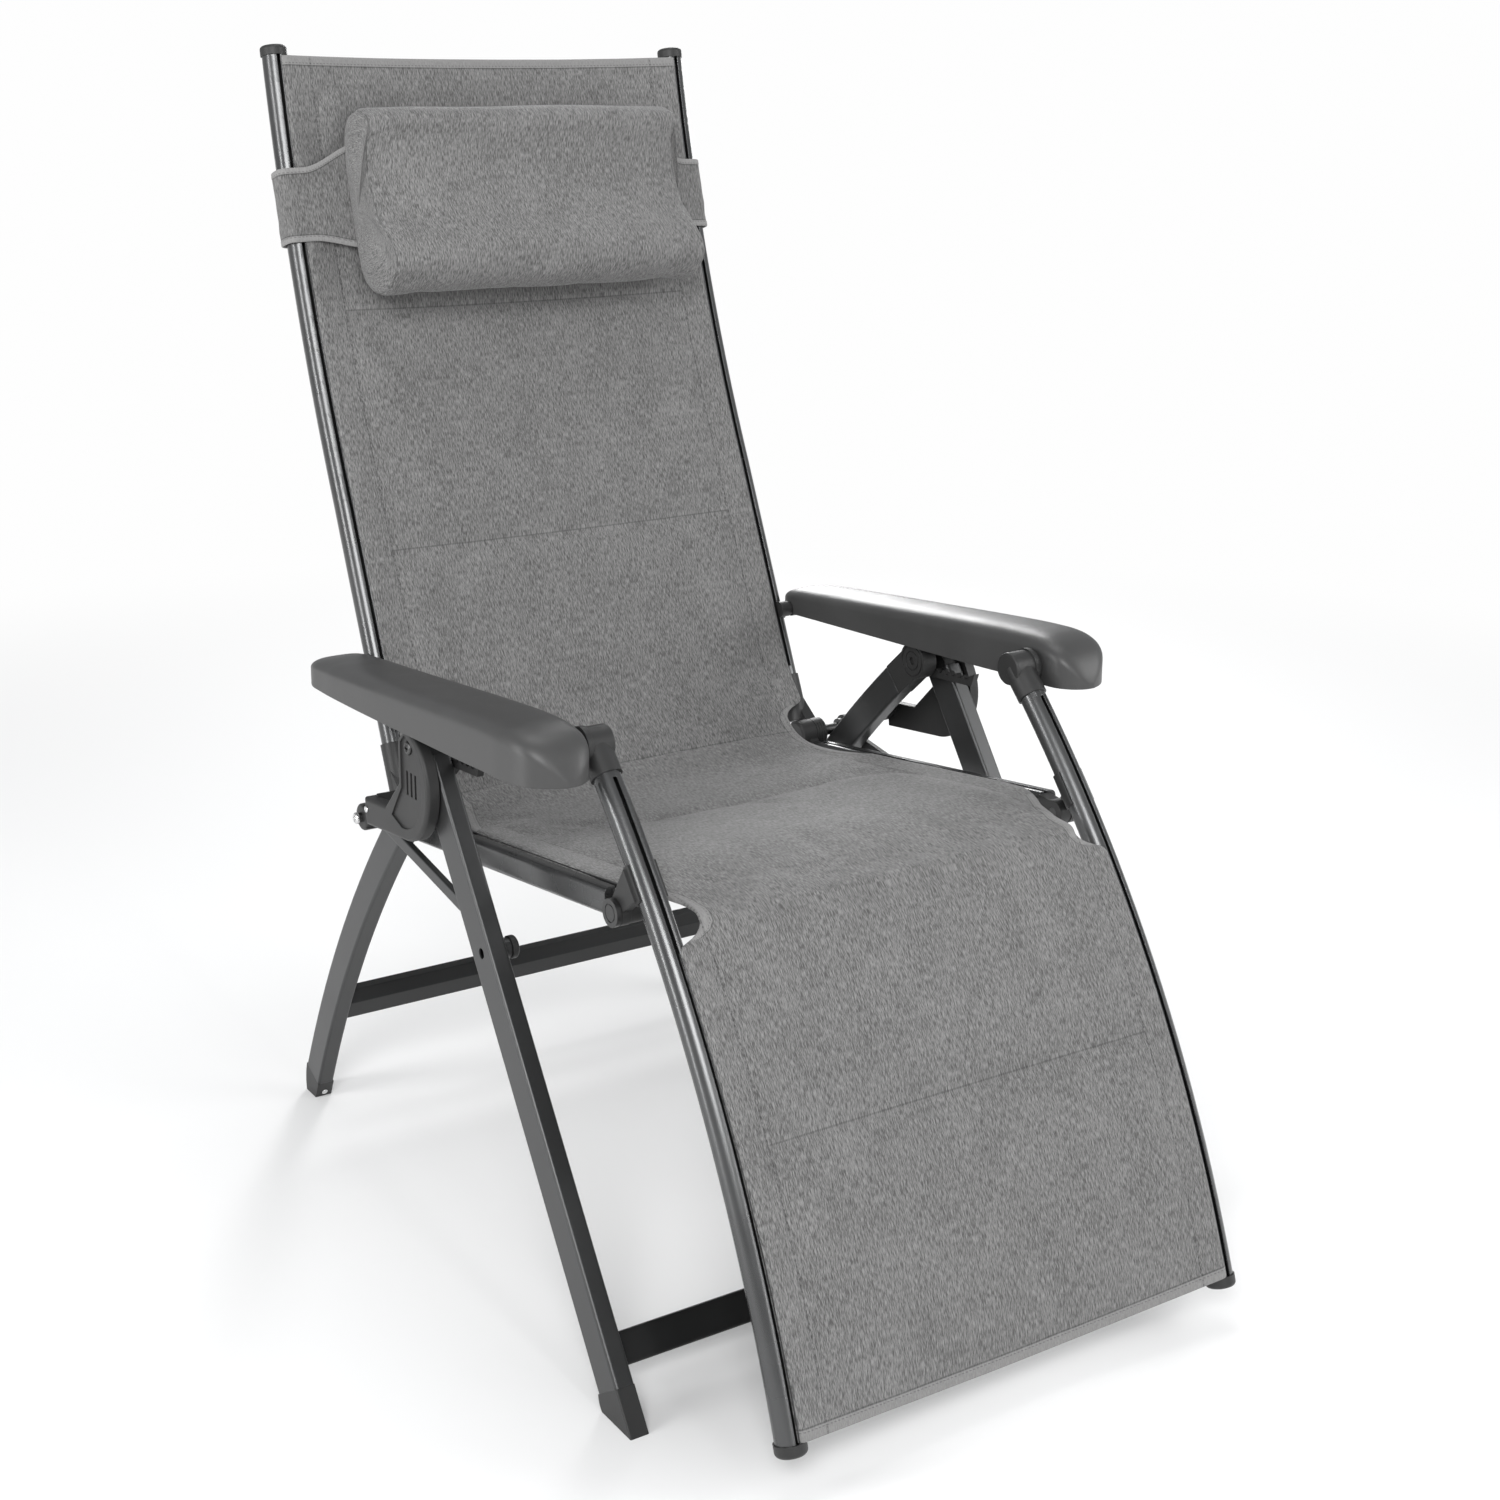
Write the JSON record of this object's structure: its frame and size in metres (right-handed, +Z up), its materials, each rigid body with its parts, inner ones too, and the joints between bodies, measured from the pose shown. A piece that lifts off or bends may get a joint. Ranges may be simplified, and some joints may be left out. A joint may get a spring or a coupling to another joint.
{
  "type": "folding recliner chair",
  "caption": "Folding relax chair: padded fabric sling on a bent tube frame, armrests that set the recline, linked legrest, strapped head pillow.",
  "frame": {"origin": "on the floor, under the middle of the chair's box", "axes": "+Z up, +X across the chair towards its right-hand node names, -Y the way a sitter faces"},
  "size_m": [0.6796, 1.0136, 1.177],
  "materials": {
    "leg_metal": "semi-gloss charcoal powder coat",
    "tube_metal": "semi-gloss anthracite powder coat",
    "bar_metal": "satin black powder coat",
    "black_plastic": "fine-grained black moulding",
    "arm_plastic": "fine-grained dark grey moulding",
    "steel": "blackened turned steel",
    "screw_chrome": "bright screw head",
    "fabric": "padded heather grey weave",
    "strap": "grey woven band with a lighter binding"
  },
  "bodies": {
    "base": {"front_leg_left": "leg_metal", "front_leg_right": "leg_metal", "front_foot_left": "black_plastic", "front_foot_right": "black_plastic", "front_crossbar": "bar_metal", "front_leg_top_caps": "black_plastic", "hinge_bolts": "steel", "latch_rollers": "steel", "link_pivots": "black_plastic"},
    "rear_legs": {"rear_leg_left": "leg_metal", "rear_leg_right": "leg_metal", "rear_foot_left": "black_plastic", "rear_foot_right": "black_plastic", "rear_foot_screws": "screw_chrome", "rear_crossbar": "bar_metal", "rear_leg_fitting_left": "black_plastic", "rear_leg_fitting_right": "black_plastic", "hinge_guard_left": "black_plastic", "hinge_guard_right": "black_plastic", "guard_screws": "screw_chrome"},
    "links": {"link_left": "leg_metal", "link_right": "leg_metal", "axle_left": "steel", "axle_right": "steel", "axle_hubs": "black_plastic", "axle_screws": "screw_chrome"},
    "seat": {"seat_rail_left": "tube_metal", "seat_rail_right": "tube_metal", "seat_rear_fitting_left": "black_plastic", "seat_rear_fitting_right": "black_plastic", "seat_front_fitting_left": "black_plastic", "seat_front_fitting_right": "black_plastic", "seat_sling": "fabric"},
    "back_bush": {"back_bushes": "steel"},
    "back": {"back_tube_left": "tube_metal", "back_tube_right": "tube_metal", "back_lower_fitting_left": "black_plastic", "back_lower_fitting_right": "black_plastic", "back_top_caps": "black_plastic", "back_crossbar": "tube_metal", "armrest_clamps": "black_plastic", "back_sling": "fabric"},
    "pillow": {"head_pillow": "fabric", "pillow_strap": "strap"},
    "knee_pin": {"knee_pins": "steel"},
    "legrest": {"legrest_tube_left": "tube_metal", "legrest_tube_right": "tube_metal", "legrest_tee_left": "black_plastic", "legrest_tee_right": "black_plastic", "legrest_bracket_left": "black_plastic", "legrest_bracket_right": "black_plastic", "legrest_end_caps": "black_plastic", "legrest_crossbar": "tube_metal", "legrest_sling": "fabric"},
    "arm_pivot": {"armrest_pivots": "steel"},
    "armrests": {"armrest_left": "arm_plastic", "armrest_right": "arm_plastic", "latch_rack_left": "black_plastic", "latch_rack_right": "black_plastic", "latch_rack_screws": "screw_chrome"}
  },
  "joints": [
    {"name": "fold", "type": "hinge", "parent": "base", "child": "links", "pos_m": [0, -0.092, 0.355], "axis": [-1, 0, 0], "range_deg": [0, 100]},
    {"name": "rear_leg_fold", "type": "hinge", "parent": "base", "child": "rear_legs", "pos_m": [0, 0.027, 0.524], "axis": [-1, 0, 0], "range_deg": [0, 66]},
    {"name": "seat_tilt", "type": "hinge", "parent": "links", "child": "seat", "pos_m": [0, 0.187, 0.405], "axis": [-1, 0, 0], "range_deg": [0, 10.5]},
    {"name": "back_fold", "type": "hinge", "parent": "seat", "child": "back_bush", "pos_m": [0, 0.187, 0.405], "axis": [1, 0, 0], "range_deg": [0, 100]},
    {"name": "back_recline", "type": "hinge", "parent": "back_bush", "child": "back", "pos_m": [0, 0.187, 0.405], "axis": [-1, 0, 0], "range_deg": [0, 24]},
    {"name": "pillow_height", "type": "hinge", "parent": "back", "child": "pillow", "pos_m": [0, -1.53503, 1.5663], "axis": [-1, 0, 0], "range_deg": [-1, 2.5]},
    {"name": "arm_fold", "type": "hinge", "parent": "back", "child": "arm_pivot", "pos_m": [0, 0.253, 0.538], "axis": [-1, 0, 0], "range_deg": [0, 100]},
    {"name": "arm_recline", "type": "hinge", "parent": "arm_pivot", "child": "armrests", "pos_m": [0, 0.253, 0.538], "axis": [1, 0, 0], "range_deg": [0, 24]},
    {"name": "knee_fold", "type": "hinge", "parent": "seat", "child": "knee_pin", "pos_m": [0, -0.242, 0.434], "axis": [1, 0, 0], "range_deg": [0, 100]},
    {"name": "knee_recline", "type": "hinge", "parent": "knee_pin", "child": "legrest", "pos_m": [0, -0.242, 0.434], "axis": [-1, 0, 0], "range_deg": [0, 24]}
  ],
  "couplings": [
    {"joint": "rear_leg_fold", "follows": "fold", "ratio": 0.66},
    {"joint": "back_fold", "follows": "fold", "ratio": 1},
    {"joint": "arm_fold", "follows": "fold", "ratio": 1},
    {"joint": "knee_fold", "follows": "fold", "ratio": 1},
    {"joint": "seat_tilt", "follows": "back_recline", "ratio": 0.42857},
    {"joint": "arm_recline", "follows": "back_recline", "ratio": 1},
    {"joint": "knee_recline", "follows": "back_recline", "ratio": 1}
  ]
}
